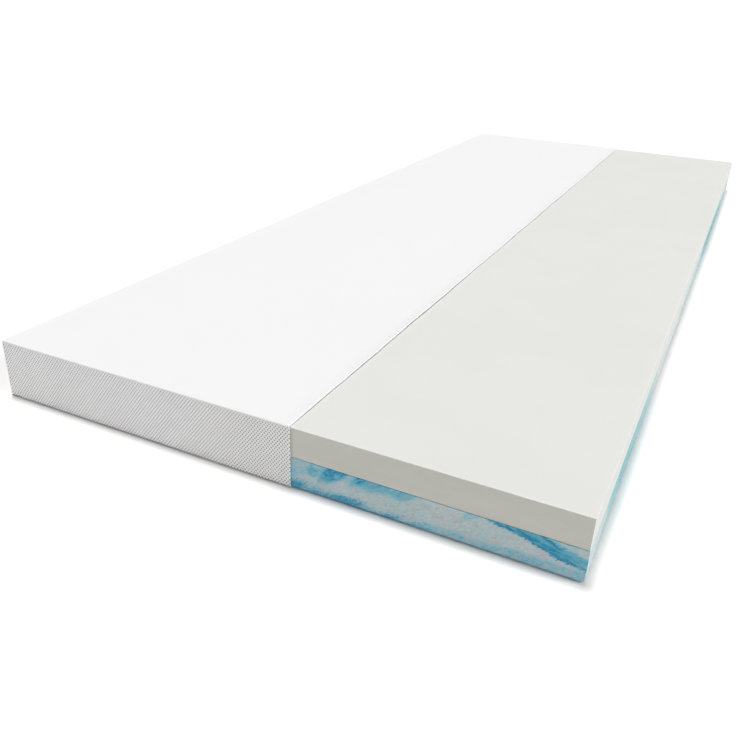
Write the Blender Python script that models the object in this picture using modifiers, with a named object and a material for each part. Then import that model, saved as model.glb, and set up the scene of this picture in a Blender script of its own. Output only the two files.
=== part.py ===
"""Foam mattress core in a half cover: two bonded foam slabs, a knitted cover that ends at a
straight cut, and the cover's long-side zip.

+X is the bare foam side, -X the covered side, -Y the foot end, +Y the head end.
The origin is on the floor under the middle of the foam core. Lengths in metres, +Z up.
"""

import bmesh
import bpy

# ---------------------------------------------------------------- driving dimensions
CORE_W = 0.800          # across the bed
CORE_L = 2.000          # head to foot
LAYER_T = 0.040         # each foam slab
FILM_T = 0.0004         # glue film between the slabs
GAP = 0.0003            # clearance between faces that touch
FOAM_EDGE = 0.0010      # rounding of the sawn foam edges

CUT_X = 0.0550          # plane where the cover ends
TOP_PANEL_T = 0.0020    # knitted top cloth
BOTTOM_PANEL_T = 0.0012  # plain bottom cloth
BORDER_T = 0.0020       # air-mesh side band
LEFT_EASE = 0.0019      # room between the core and the zip-side band

THREAD_R = 0.0003       # top seam thread
THREAD_LOW_R = 0.0002   # bottom seam thread
CORNER_R = 0.0008       # corner seam cord

ZIP_Z = 0.0200          # height of the zip's middle line
ZIP_BAND_HALF = 0.0060  # half the slot between the two zip-side bands
ZIP_END_Y = 0.957       # the slot is filled by end patches beyond this
COIL_END_Y = 0.950
TAPE_T = 0.0004
TAPE_IN = 0.0009        # tape edge from the middle line
TAPE_OUT = 0.0120
COIL_IN = 0.0007
COIL_OUT = 0.0025
COIL_T = 0.0016
SLIDER_Y = -0.935       # slider at the closed end
SLIDER_CLEAR = 0.00025
PLATE_T = 0.0007
PLATE_HALF_W = 0.0045
PLATE_HALF_L = 0.0050
PIN_R = 0.00045
TAB_LEN = 0.0260

# ---------------------------------------------------------------- derived places
CORE_X0, CORE_X1 = -CORE_W / 2, CORE_W / 2
CORE_Y = CORE_L / 2
SUPPORT_Z0 = BOTTOM_PANEL_T + GAP
SUPPORT_Z1 = SUPPORT_Z0 + LAYER_T
FILM_Z0 = SUPPORT_Z1 + GAP
FILM_Z1 = FILM_Z0 + FILM_T
COMFORT_Z0 = FILM_Z1 + GAP
COMFORT_Z1 = COMFORT_Z0 + LAYER_T
TOP_Z0 = COMFORT_Z1 + GAP
TOP_Z1 = TOP_Z0 + TOP_PANEL_T

BORDER_Z0 = BOTTOM_PANEL_T + GAP + 2 * THREAD_LOW_R + GAP
BORDER_Z1 = TOP_Z0 - GAP - 2 * THREAD_R - GAP
BORDER_Y0 = CORE_Y + GAP                      # inner face of the end bands
BORDER_Y1 = BORDER_Y0 + BORDER_T
LEFT_X1 = CORE_X0 - LEFT_EASE                 # inner face of the zip-side bands
LEFT_X0 = LEFT_X1 - BORDER_T                  # their outer face

INNER_PLATE_X1 = CORE_X0 - GAP
INNER_PLATE_X0 = INNER_PLATE_X1 - PLATE_T
TAPE_X1 = INNER_PLATE_X0 - SLIDER_CLEAR
TAPE_X0 = TAPE_X1 - TAPE_T
COIL_X1 = TAPE_X0 - SLIDER_CLEAR
COIL_X0 = COIL_X1 - COIL_T
OUTER_PLATE_X1 = COIL_X0 - SLIDER_CLEAR
OUTER_PLATE_X0 = OUTER_PLATE_X1 - PLATE_T
PIN_X = OUTER_PLATE_X0 - 0.0004 - PIN_R
BRIDGE_X1 = PIN_X - PIN_R - 0.0004
BRIDGE_X0 = BRIDGE_X1 - 0.0008


# ---------------------------------------------------------------- scene and helpers
for old in list(bpy.data.objects):
    bpy.data.objects.remove(old, do_unlink=True)
for old in list(bpy.data.collections):
    bpy.data.collections.remove(old)

mattress = bpy.data.collections.new("foam_mattress")
bpy.context.scene.collection.children.link(mattress)
cutters = bpy.data.collections.new("cutters")
bpy.context.scene.collection.children.link(cutters)
cutters.hide_render = True


def material(name, colour, rough, metallic=0.0):
    mat = bpy.data.materials.new(name)
    mat.use_nodes = True
    bsdf = mat.node_tree.nodes["Principled BSDF"]
    bsdf.inputs["Base Color"].default_value = (*colour, 1.0)
    bsdf.inputs["Roughness"].default_value = rough
    bsdf.inputs["Metallic"].default_value = metallic
    mat.diffuse_color = (*colour, 1.0)
    return mat


def box_mesh(name, low, high, origin):
    bm = bmesh.new()
    corners = [
        bm.verts.new([(low, high)[(k >> a) & 1][a] - origin[a] for a in range(3)])
        for k in range(8)
    ]
    for face in ((0, 2, 3, 1), (4, 5, 7, 6), (0, 1, 5, 4), (2, 6, 7, 3), (0, 4, 6, 2), (1, 3, 7, 5)):
        bm.faces.new([corners[i] for i in face])
    bmesh.ops.recalc_face_normals(bm, faces=bm.faces)
    mesh = bpy.data.meshes.new(name)
    bm.to_mesh(mesh)
    bm.free()
    return mesh


def bevel(obj, width, segments):
    mod = obj.modifiers.new("edge_round", "BEVEL")
    mod.width = width
    mod.segments = segments
    mod.limit_method = "ANGLE"
    mod.harden_normals = False


def box(name, low, high, colour, rough, round_edges=0.0, segments=2, origin=(0, 0, 0), metallic=0.0):
    obj = bpy.data.objects.new(name, box_mesh(name, low, high, origin))
    obj.location = origin
    mattress.objects.link(obj)
    obj.data.materials.append(material(name, colour, rough, metallic))
    if round_edges:
        bevel(obj, round_edges, segments)
    return obj


def rod(name, start, end, radius, colour, rough, sides=2):
    curve = bpy.data.curves.new(name, "CURVE")
    curve.dimensions = "3D"
    curve.bevel_depth = radius
    curve.bevel_resolution = sides
    curve.use_fill_caps = True
    spline = curve.splines.new("POLY")
    spline.points.add(1)
    spline.points[0].co = (*start, 1.0)
    spline.points[1].co = (*end, 1.0)
    obj = bpy.data.objects.new(name, curve)
    mattress.objects.link(obj)
    obj.data.materials.append(material(name, colour, rough))
    return obj


def helper(name, low, high, origin):
    obj = bpy.data.objects.new(name, box_mesh(name, low, high, origin))
    obj.location = origin
    obj.hide_render = True
    obj.display_type = "WIRE"
    cutters.objects.link(obj)
    return obj


def prism_x(name, outline, x0, x1, origin):
    """A flat plate in the YZ plane from a closed outline of (y, z) points."""
    bm = bmesh.new()
    back = [bm.verts.new((x0 - origin[0], y - origin[1], z - origin[2])) for y, z in outline]
    front = [bm.verts.new((x1 - origin[0], y - origin[1], z - origin[2])) for y, z in outline]
    bm.faces.new(back)
    bm.faces.new(front[::-1])
    for i in range(len(outline)):
        j = (i + 1) % len(outline)
        bm.faces.new((back[i], front[i], front[j], back[j]))
    bmesh.ops.recalc_face_normals(bm, faces=bm.faces)
    mesh = bpy.data.meshes.new(name)
    bm.to_mesh(mesh)
    bm.free()
    return mesh


def combine(obj, other, operation="UNION"):
    mod = obj.modifiers.new(other.name, "BOOLEAN")
    mod.operation = operation
    mod.solver = "EXACT"
    mod.object = other


CREAM = (0.80, 0.79, 0.74)
AQUA = (0.45, 0.68, 0.72)
WHITE = (0.92, 0.92, 0.93)
MESH_WHITE = (0.80, 0.80, 0.80)
PLAIN_GREY = (0.62, 0.63, 0.65)
STEEL = (0.70, 0.71, 0.72)

# ---------------------------------------------------------------- foam core
box("support_layer", (CORE_X0, -CORE_Y, SUPPORT_Z0), (CORE_X1, CORE_Y, SUPPORT_Z1), AQUA, 0.95, FOAM_EDGE)
box("bond_film", (CORE_X0 + 0.004, -CORE_Y + 0.004, FILM_Z0), (CORE_X1 - 0.004, CORE_Y - 0.004, FILM_Z1), (0.75, 0.74, 0.68), 0.5)
box("comfort_layer", (CORE_X0, -CORE_Y, COMFORT_Z0), (CORE_X1, CORE_Y, COMFORT_Z1), CREAM, 0.95, FOAM_EDGE)

# ---------------------------------------------------------------- cover panels
box("cover_top_panel", (LEFT_X0, -BORDER_Y1, TOP_Z0), (CUT_X, BORDER_Y1, TOP_Z1), WHITE, 0.9, 0.0007)
box("cover_bottom_panel", (LEFT_X0, -BORDER_Y1, 0.0), (CUT_X, BORDER_Y1, BOTTOM_PANEL_T), PLAIN_GREY, 0.9, 0.0004)

# ---------------------------------------------------------------- side bands
END_X0 = LEFT_X1 + GAP
box("border_front", (END_X0, -BORDER_Y1, BORDER_Z0), (CUT_X, -BORDER_Y0, BORDER_Z1), MESH_WHITE, 0.9, 0.0005)
box("border_rear", (END_X0, BORDER_Y0, BORDER_Z0), (CUT_X, BORDER_Y1, BORDER_Z1), MESH_WHITE, 0.9, 0.0005)
SIDE_Y = CORE_Y + 0.0002
box("border_left_upper", (LEFT_X0, -SIDE_Y, ZIP_Z + ZIP_BAND_HALF), (LEFT_X1, SIDE_Y, BORDER_Z1), MESH_WHITE, 0.9, 0.0005)
box("border_left_lower", (LEFT_X0, -SIDE_Y, BORDER_Z0), (LEFT_X1, SIDE_Y, ZIP_Z - ZIP_BAND_HALF), MESH_WHITE, 0.9, 0.0005)

# ---------------------------------------------------------------- seams
TOP_SEAM_Z = TOP_Z0 - GAP - THREAD_R
LOW_SEAM_Z = BOTTOM_PANEL_T + GAP + THREAD_LOW_R
END_SEAM_Y = (BORDER_Y0 + BORDER_Y1) / 2
LEFT_SEAM_X = (LEFT_X0 + LEFT_X1) / 2
for name, z, r in (("seam_top", TOP_SEAM_Z, THREAD_R), ("seam_bottom", LOW_SEAM_Z, THREAD_LOW_R)):
    rod(name + "_front", (LEFT_SEAM_X + 0.0014, -END_SEAM_Y, z), (CUT_X, -END_SEAM_Y, z), r, WHITE, 0.7)
    rod(name + "_rear", (LEFT_SEAM_X + 0.0014, END_SEAM_Y, z), (CUT_X, END_SEAM_Y, z), r, WHITE, 0.7)
    rod(name + "_left", (LEFT_SEAM_X, -CORE_Y, z), (LEFT_SEAM_X, CORE_Y, z), r, WHITE, 0.7)
for name, side in (("seam_corner_front", -1), ("seam_corner_rear", 1)):
    rod(name, (LEFT_SEAM_X, side * END_SEAM_Y, BORDER_Z0), (LEFT_SEAM_X, side * END_SEAM_Y, BORDER_Z1), CORNER_R, WHITE, 0.7, sides=3)

# ---------------------------------------------------------------- zip
for name, side in (("front", -1), ("rear", 1)):
    ends = sorted((side * SIDE_Y, side * ZIP_END_Y))
    box(
        "zip_end_patch_" + name,
        (LEFT_X0, ends[0], ZIP_Z - ZIP_BAND_HALF + GAP),
        (LEFT_X1, ends[1], ZIP_Z + ZIP_BAND_HALF - GAP),
        PLAIN_GREY, 0.9, 0.0005,
    )
for name, side in (("upper", 1), ("lower", -1)):
    tape = sorted((ZIP_Z + side * TAPE_IN, ZIP_Z + side * TAPE_OUT))
    box("zip_tape_" + name, (TAPE_X0, -CORE_Y + 0.005, tape[0]), (TAPE_X1, CORE_Y - 0.005, tape[1]), WHITE, 0.85)
    coil = sorted((ZIP_Z + side * COIL_IN, ZIP_Z + side * COIL_OUT))
    box("zip_coil_" + name, (COIL_X0, -COIL_END_Y + 0.004, coil[0]), (COIL_X1, COIL_END_Y, coil[1]), WHITE, 0.4, 0.0005, 3)
    box(
        "zip_top_stop_" + name,
        (COIL_X0 - 0.0002, -COIL_END_Y, coil[0]), (COIL_X1, -COIL_END_Y + 0.004 - GAP, coil[1]),
        STEEL, 0.3, 0.0003, 2, metallic=1.0,
    )
box(
    "zip_bottom_stop",
    (COIL_X0 - 0.0004, COIL_END_Y + GAP, ZIP_Z - COIL_OUT), (COIL_X1, COIL_END_Y + 0.005, ZIP_Z + COIL_OUT),
    STEEL, 0.3, 0.0004, 2, metallic=1.0,
)

# The slider: two plates joined by a post that runs between the coils, side lips, and a bridge.
AT = (PIN_X, SLIDER_Y, ZIP_Z)


def slider_outline(half_l, half_w, tail):
    return [
        (SLIDER_Y - half_l, ZIP_Z - half_w * 0.72), (SLIDER_Y - half_l * 0.45, ZIP_Z - half_w),
        (SLIDER_Y + half_l * 0.45, ZIP_Z - half_w), (SLIDER_Y + half_l, ZIP_Z - half_w * tail),
        (SLIDER_Y + half_l, ZIP_Z + half_w * tail), (SLIDER_Y + half_l * 0.45, ZIP_Z + half_w),
        (SLIDER_Y - half_l * 0.45, ZIP_Z + half_w), (SLIDER_Y - half_l, ZIP_Z + half_w * 0.72),
    ]


slider = bpy.data.objects.new(
    "zip_slider",
    prism_x("zip_slider", slider_outline(PLATE_HALF_L, PLATE_HALF_W, 0.62), OUTER_PLATE_X0, OUTER_PLATE_X1, AT),
)
slider.location = AT
mattress.objects.link(slider)
slider.data.materials.append(material("zip_slider", STEEL, 0.3, 1.0))
bevel(slider, 0.00018, 2)

inner = bpy.data.objects.new(
    "slider_inner_plate",
    prism_x("slider_inner_plate", slider_outline(PLATE_HALF_L * 0.96, PLATE_HALF_W * 0.94, 0.6), INNER_PLATE_X0, INNER_PLATE_X1, AT),
)
inner.location = AT
inner.hide_render = True
inner.display_type = "WIRE"
cutters.objects.link(inner)
combine(slider, inner)
combine(slider, helper(
    "slider_post",
    (OUTER_PLATE_X0 + 0.0002, SLIDER_Y - 0.0012, ZIP_Z - 0.0004), (INNER_PLATE_X1 - 0.0002, SLIDER_Y + 0.0012, ZIP_Z + 0.0004), AT))
for name, side in (("up", 1), ("down", -1)):
    lip = sorted((ZIP_Z + side * 0.0031, ZIP_Z + side * 0.0040))
    combine(slider, helper(
        "slider_lip_" + name,
        (OUTER_PLATE_X0 + 0.0002, SLIDER_Y - 0.0024, lip[0]), (COIL_X1 + 0.0001, SLIDER_Y + 0.0024, lip[1]), AT))
for name, side in (("fore", -1), ("aft", 1)):
    leg = sorted((SLIDER_Y + side * 0.0022, SLIDER_Y + side * 0.0033))
    combine(slider, helper(
        "slider_leg_" + name,
        (BRIDGE_X0 + 0.0002, leg[0], ZIP_Z - 0.0011), (OUTER_PLATE_X1 - 0.0002, leg[1], ZIP_Z + 0.0011), AT))
combine(slider, helper(
    "slider_bridge",
    (BRIDGE_X0, SLIDER_Y - 0.0034, ZIP_Z - 0.0012), (BRIDGE_X1, SLIDER_Y + 0.0034, ZIP_Z + 0.0012), AT))

# The pull tab: a long rounded loop whose cross pin turns under the bridge.
TAB_X0, TAB_X1 = PIN_X - PIN_R, PIN_X + PIN_R
TAB_HALF = 0.0030
tab_outline = [
    (SLIDER_Y - PIN_R, ZIP_Z - TAB_HALF), (SLIDER_Y + TAB_LEN - 0.0012, ZIP_Z - TAB_HALF),
    (SLIDER_Y + TAB_LEN, ZIP_Z - TAB_HALF + 0.0012), (SLIDER_Y + TAB_LEN, ZIP_Z + TAB_HALF - 0.0012),
    (SLIDER_Y + TAB_LEN - 0.0012, ZIP_Z + TAB_HALF), (SLIDER_Y - PIN_R, ZIP_Z + TAB_HALF),
]
tab = bpy.data.objects.new("zip_pull_tab", prism_x("zip_pull_tab", tab_outline, TAB_X0, TAB_X1, AT))
tab.location = AT
mattress.objects.link(tab)
tab.data.materials.append(material("zip_pull_tab", STEEL, 0.3, 1.0))
combine(tab, helper(
    "tab_window", (TAB_X0 - 0.001, SLIDER_Y + PIN_R, ZIP_Z - 0.0016), (TAB_X1 + 0.001, SLIDER_Y + 0.0052, ZIP_Z + 0.0016), AT), "DIFFERENCE")
combine(tab, helper(
    "tab_grip_slot", (TAB_X0 - 0.001, SLIDER_Y + 0.0150, ZIP_Z - 0.0014), (TAB_X1 + 0.001, SLIDER_Y + 0.0225, ZIP_Z + 0.0014), AT), "DIFFERENCE")
bevel(tab, 0.00018, 2)

bpy.context.view_layer.update()
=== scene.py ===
import math

import bpy
import numpy as np
from mathutils import Matrix, Vector


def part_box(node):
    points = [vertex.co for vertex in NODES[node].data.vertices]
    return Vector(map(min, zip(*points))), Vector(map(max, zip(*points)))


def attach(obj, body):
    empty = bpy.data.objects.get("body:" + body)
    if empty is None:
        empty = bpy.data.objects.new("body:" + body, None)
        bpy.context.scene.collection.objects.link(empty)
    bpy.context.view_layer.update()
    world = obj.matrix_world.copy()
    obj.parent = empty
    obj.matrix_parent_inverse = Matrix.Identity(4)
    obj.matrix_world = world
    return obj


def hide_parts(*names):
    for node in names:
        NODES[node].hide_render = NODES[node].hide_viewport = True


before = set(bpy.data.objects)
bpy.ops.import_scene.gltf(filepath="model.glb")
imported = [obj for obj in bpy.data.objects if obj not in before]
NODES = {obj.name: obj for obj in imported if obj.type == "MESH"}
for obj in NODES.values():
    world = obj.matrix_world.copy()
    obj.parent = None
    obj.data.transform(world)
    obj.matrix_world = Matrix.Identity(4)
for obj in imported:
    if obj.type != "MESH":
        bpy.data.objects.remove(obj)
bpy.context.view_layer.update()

# ------------------------------------------------------------------ camera
scene = bpy.context.scene
cam_data = bpy.data.cameras.new("camera")
cam = bpy.data.objects.new("camera", cam_data)
scene.collection.objects.link(cam)
cam_data.sensor_width = 36.0
cam_data.lens = 37.72
cam_data.clip_start = 0.05
cam_data.clip_end = 400.0
cam.matrix_world = Matrix((
    (0.894232, -0.226025, 0.386345, 0.45607),
    (0.446373, 0.386334, -0.807154, -1.64057),
    (0.033179, 0.894237, 0.446363, 0.53556),
    (0.0, 0.0, 0.0, 1.0),
))
scene.camera = cam
scene.view_settings.view_transform = "Standard"
scene.view_settings.look = "None"
scene.view_settings.exposure = 0.0
scene.view_settings.gamma = 1.0


# ------------------------------------------------------------------ small tools
def box_of(node):
    low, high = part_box(node)
    return np.array(low, float), np.array(high, float)


def mesh_object(name, verts, faces, mat, smooth=True):
    me = bpy.data.meshes.new(name)
    verts = np.asarray(verts, float).reshape(-1, 3)
    faces = np.asarray(faces, np.int64)
    me.vertices.add(len(verts))
    me.vertices.foreach_set("co", verts.ravel())
    n, k = faces.shape
    me.loops.add(n * k)
    me.loops.foreach_set("vertex_index", faces.ravel().astype(np.int32))
    me.polygons.add(n)
    me.polygons.foreach_set("loop_start", np.arange(0, n * k, k, dtype=np.int32))
    me.polygons.foreach_set("loop_total", np.full(n, k, np.int32))
    me.polygons.foreach_set("use_smooth", np.full(n, smooth, bool))
    me.update(calc_edges=True)
    me.validate()
    obj = bpy.data.objects.new(name, me)
    scene.collection.objects.link(obj)
    if mat is not None:
        me.materials.append(mat)
    return obj


def value_noise(points, seed, size=32):
    """Smooth noise in 0..1 at (n, 3) points, repeating every `size` units."""
    table = np.random.RandomState(seed).rand(size, size, size)
    base = np.floor(points).astype(np.int64)
    t = points - base
    t = t * t * (3 - 2 * t)
    out = np.zeros(len(points))
    for dx in (0, 1):
        for dy in (0, 1):
            for dz in (0, 1):
                w = (
                    (t[:, 0] if dx else 1 - t[:, 0])
                    * (t[:, 1] if dy else 1 - t[:, 1])
                    * (t[:, 2] if dz else 1 - t[:, 2])
                )
                out += w * table[(base[:, 0] + dx) % size, (base[:, 1] + dy) % size, (base[:, 2] + dz) % size]
    return out


def smoothstep(a, b, x):
    t = np.clip((x - a) / (b - a), 0, 1)
    return t * t * (3 - 2 * t)


def edge_samples(low, high, r, step, ring=4):
    """Positions from low to high, dense over the rounding of radius r at each end."""
    angles = np.linspace(math.pi / 4, 0, ring + 1)
    near = r * (1 - np.tan(angles))
    count = max(1, int(round((high - low - 2 * r) / step)))
    mid = np.linspace(low + r, high - r, count + 1)
    return np.concatenate([low + near[:-1], mid, high - near[:-1][::-1]])


def rounded_block(name, low, high, r, steps, mat, shape=None, ring=4):
    """A closed block with rounded edges and a grid on every face; shape(P, N) moves its points."""
    axes = [edge_samples(low[a], high[a], r, steps[a], ring) for a in range(3)]
    nx, ny, nz = (len(a) for a in axes)
    ids = -np.ones((nx, ny, nz), np.int64)
    shell = np.zeros((nx, ny, nz), bool)
    shell[[0, -1]] = True
    shell[:, [0, -1]] = True
    shell[:, :, [0, -1]] = True
    where = np.argwhere(shell)
    ids[shell] = np.arange(len(where))
    P = np.stack([axes[a][where[:, a]] for a in range(3)], 1)
    inner_low, inner_high = np.array(low) + r, np.array(high) - r
    Q = np.clip(P, inner_low, inner_high)
    N = P - Q
    N /= np.maximum(np.linalg.norm(N, axis=1), 1e-12)[:, None]
    P = Q + r * N
    faces = []

    def add(grid, flip):
        a, b, c, d = grid[:-1, :-1], grid[1:, :-1], grid[1:, 1:], grid[:-1, 1:]
        quad = np.stack([a, b, c, d], -1).reshape(-1, 4)
        faces.append(quad[:, ::-1] if flip else quad)

    add(ids[0], True)
    add(ids[-1], False)
    add(ids[:, 0], False)
    add(ids[:, -1], True)
    add(ids[:, :, 0], True)
    add(ids[:, :, -1], False)
    if shape is not None:
        P = shape(P, N)
    return mesh_object(name, P, np.concatenate(faces), mat)


def closed_shell(name, A, B, mat):
    """A closed sheet from two grids of points, A outside and B inside."""
    nu, nv = A.shape[:2]
    ids = np.arange(nu * nv).reshape(nu, nv)
    faces = []

    def quads(grid, flip):
        q = np.stack([grid[:-1, :-1], grid[1:, :-1], grid[1:, 1:], grid[:-1, 1:]], -1).reshape(-1, 4)
        faces.append(q[:, ::-1] if flip else q)

    quads(ids, False)
    quads(ids + nu * nv, True)
    rim = np.concatenate([ids[:, 0], ids[-1, 1:], ids[-2::-1, -1], ids[0, -2:0:-1]])
    nxt = np.roll(rim, -1)
    faces.append(np.stack([nxt, rim, rim + nu * nv, nxt + nu * nv], -1))
    return mesh_object(name, np.concatenate([A.reshape(-1, 3), B.reshape(-1, 3)]), np.concatenate(faces), mat)


# ------------------------------------------------------------------ material tools
class Graph:
    def __init__(self, name):
        self.mat = bpy.data.materials.new(name)
        self.mat.use_nodes = True
        self.nt = self.mat.node_tree
        self.bsdf = self.nt.nodes["Principled BSDF"]
        self._coord = None

    def node(self, kind, **props):
        n = self.nt.nodes.new(kind)
        for key, value in props.items():
            setattr(n, key, value)
        return n

    def put(self, socket, value):
        if isinstance(value, bpy.types.NodeSocket):
            self.nt.links.new(value, socket)
        elif isinstance(value, (tuple, list)) and len(value) == 3 and socket.type == "RGBA":
            socket.default_value = (*value, 1.0)
        else:
            socket.default_value = value

    def coord(self):
        if self._coord is None:
            tc = self.node("ShaderNodeTexCoord")
            self._coord = tc.outputs["Object"]
        return self._coord

    def math(self, op, a, b=0.0, c=0.0, clamp=False):
        n = self.node("ShaderNodeMath", operation=op, use_clamp=clamp)
        for i, v in enumerate((a, b, c)):
            self.put(n.inputs[i], v)
        return n.outputs[0]

    def add(self, a, b):
        return self.math("ADD", a, b)

    def sub(self, a, b):
        return self.math("SUBTRACT", a, b)

    def mul(self, a, b):
        return self.math("MULTIPLY", a, b)

    def step(self, value, low, high, to_low=0.0, to_high=1.0):
        n = self.node("ShaderNodeMapRange", interpolation_type="SMOOTHSTEP")
        self.put(n.inputs["Value"], value)
        self.put(n.inputs["From Min"], low)
        self.put(n.inputs["From Max"], high)
        self.put(n.inputs["To Min"], to_low)
        self.put(n.inputs["To Max"], to_high)
        return n.outputs["Result"]

    def split(self, vec):
        n = self.node("ShaderNodeSeparateXYZ")
        self.put(n.inputs[0], vec)
        return n.outputs

    def join(self, x, y, z):
        n = self.node("ShaderNodeCombineXYZ")
        for i, v in enumerate((x, y, z)):
            self.put(n.inputs[i], v)
        return n.outputs[0]

    def scaled(self, vec, by):
        n = self.node("ShaderNodeVectorMath", operation="MULTIPLY")
        self.put(n.inputs[0], vec)
        n.inputs[1].default_value = by
        return n.outputs[0]

    def vadd(self, a, b):
        n = self.node("ShaderNodeVectorMath", operation="ADD")
        self.put(n.inputs[0], a)
        self.put(n.inputs[1], b)
        return n.outputs[0]

    def noise(self, vec, scale=1.0, detail=2.0, rough=0.5, distortion=0.0, colour=False):
        n = self.node("ShaderNodeTexNoise")
        self.put(n.inputs["Vector"], vec)
        n.inputs["Scale"].default_value = scale
        n.inputs["Detail"].default_value = detail
        n.inputs["Roughness"].default_value = rough
        n.inputs["Distortion"].default_value = distortion
        return n.outputs["Color" if colour else "Fac"]

    def cells(self, vec, scale, feature="F1", output="Distance"):
        n = self.node("ShaderNodeTexVoronoi", feature=feature)
        self.put(n.inputs["Vector"], vec)
        n.inputs["Scale"].default_value = scale
        return n.outputs[output]

    def curve(self, value, points):
        n = self.node("ShaderNodeFloatCurve")
        self.put(n.inputs["Value"], value)
        c = n.mapping.curves[0]
        n.mapping.use_clip = False
        low = min(p[1] for p in points)
        high = max(p[1] for p in points)
        span = max(high - low, 1e-6)
        pts = [(x, (y - low) / span) for x, y in points]
        c.points[0].location = pts[0]
        c.points[-1].location = pts[-1]
        for p in pts[1:-1]:
            c.points.new(*p)
        for p in c.points:
            p.handle_type = "AUTO_CLAMPED"
        n.mapping.update()
        return self.add(self.mul(n.outputs[0], span), low)

    def ramp(self, value, stops, mode="LINEAR"):
        n = self.node("ShaderNodeValToRGB")
        self.put(n.inputs[0], value)
        r = n.color_ramp
        r.interpolation = mode
        while len(r.elements) < len(stops):
            r.elements.new(0.5)
        for e, (at, col) in zip(r.elements, stops):
            e.position = at
            e.color = (*col, 1.0)
        return n.outputs["Color"]

    def mix(self, fac, a, b, blend="MIX"):
        n = self.node("ShaderNodeMix", data_type="RGBA", blend_type=blend)
        self.put(n.inputs[0], fac)
        self.put(n.inputs[6], a)
        self.put(n.inputs[7], b)
        return n.outputs[2]

    def bump(self, height, strength, distance, normal=None):
        n = self.node("ShaderNodeBump")
        n.inputs["Strength"].default_value = strength
        n.inputs["Distance"].default_value = distance
        self.put(n.inputs["Height"], height)
        if normal is not None:
            self.put(n.inputs["Normal"], normal)
        return n.outputs[0]

    def finish(self, colour, rough, normal=None, **fixed):
        self.put(self.bsdf.inputs["Base Color"], colour)
        self.put(self.bsdf.inputs["Roughness"], rough)
        if normal is not None:
            self.put(self.bsdf.inputs["Normal"], normal)
        for key, value in fixed.items():
            self.bsdf.inputs[key.replace("_", " ")].default_value = value
        return self.mat


# ------------------------------------------------------------------ foam materials
def foam_bump(g, P, strength=0.35):
    pores = g.cells(P, 950.0)
    fine = g.noise(P, 1900.0, 3.0, 0.6)
    skin = g.noise(P, 60.0, 3.0, 0.5)
    h = g.add(g.add(g.mul(pores, 0.7), g.mul(fine, 0.5)), g.mul(skin, 0.8))
    return g.bump(h, strength, 0.0004)


def cream_foam():
    g = Graph("cream_foam")
    P = g.coord()
    x, y, z = g.split(P)
    cloud = g.noise(P, 7.0, 4.0, 0.55)
    tint = g.mix(g.step(cloud, 0.3, 0.7), (0.688, 0.690, 0.664), (0.702, 0.703, 0.678))
    saw = g.noise(g.scaled(P, (26.0, 26.0, 140.0)), 1.0, 3.0, 0.5)
    top_z = float(box_of("comfort_layer")[1][2])
    # painted shade: the sawn sides are darker than the top skin, and the front face is darker still than the +X face
    on_side = g.step(z, top_z - 0.0004, top_z - 0.0016)
    right_face = g.step(x, float(box_of("comfort_layer")[1][0]) - 0.0022, float(box_of("comfort_layer")[1][0]) - 0.0008)
    tint = g.mix(on_side, tint, g.mix(g.step(saw, 0.35, 0.75), g.mix(right_face, (0.583, 0.587, 0.540), (0.610, 0.624, 0.592)), g.mix(right_face, (0.570, 0.572, 0.525), (0.598, 0.610, 0.577))))
    # painted highlight: a lighter, ragged line along the top edges of the front and back faces and down their
    # vertical corners
    near_top = g.step(z, top_z - 0.0016, top_z - 0.0006)
    half_w, half_l = float(box_of("comfort_layer")[1][0]), float(box_of("comfort_layer")[1][1])
    rim_x = g.step(g.math("ABSOLUTE", x), half_w - 0.0016, half_w - 0.0006)
    rim_y = g.step(g.math("ABSOLUTE", y), half_l - 0.0016, half_l - 0.0006)
    arris_highlight = g.math("MAXIMUM", g.mul(near_top, rim_y), g.mul(rim_x, rim_y))
    ragged = g.step(g.noise(P, 420.0, 2.0, 0.6), 0.25, 0.6, 0.55, 1.0)
    tint = g.mix(g.mul(g.mul(arris_highlight, ragged), 0.9), tint, (0.90, 0.90, 0.87))
    # painted shade: the pores are darkened
    pore = g.cells(P, 950.0)
    dark = g.step(pore, 0.32, 0.0)
    tint = g.mix(g.mul(dark, 0.12), tint, (0.48, 0.47, 0.43))
    return g.finish(tint, 0.93, foam_bump(g, P, 0.3), Specular_IOR_Level=0.22, Sheen_Weight=0.05, Sheen_Roughness=0.6)


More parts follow.
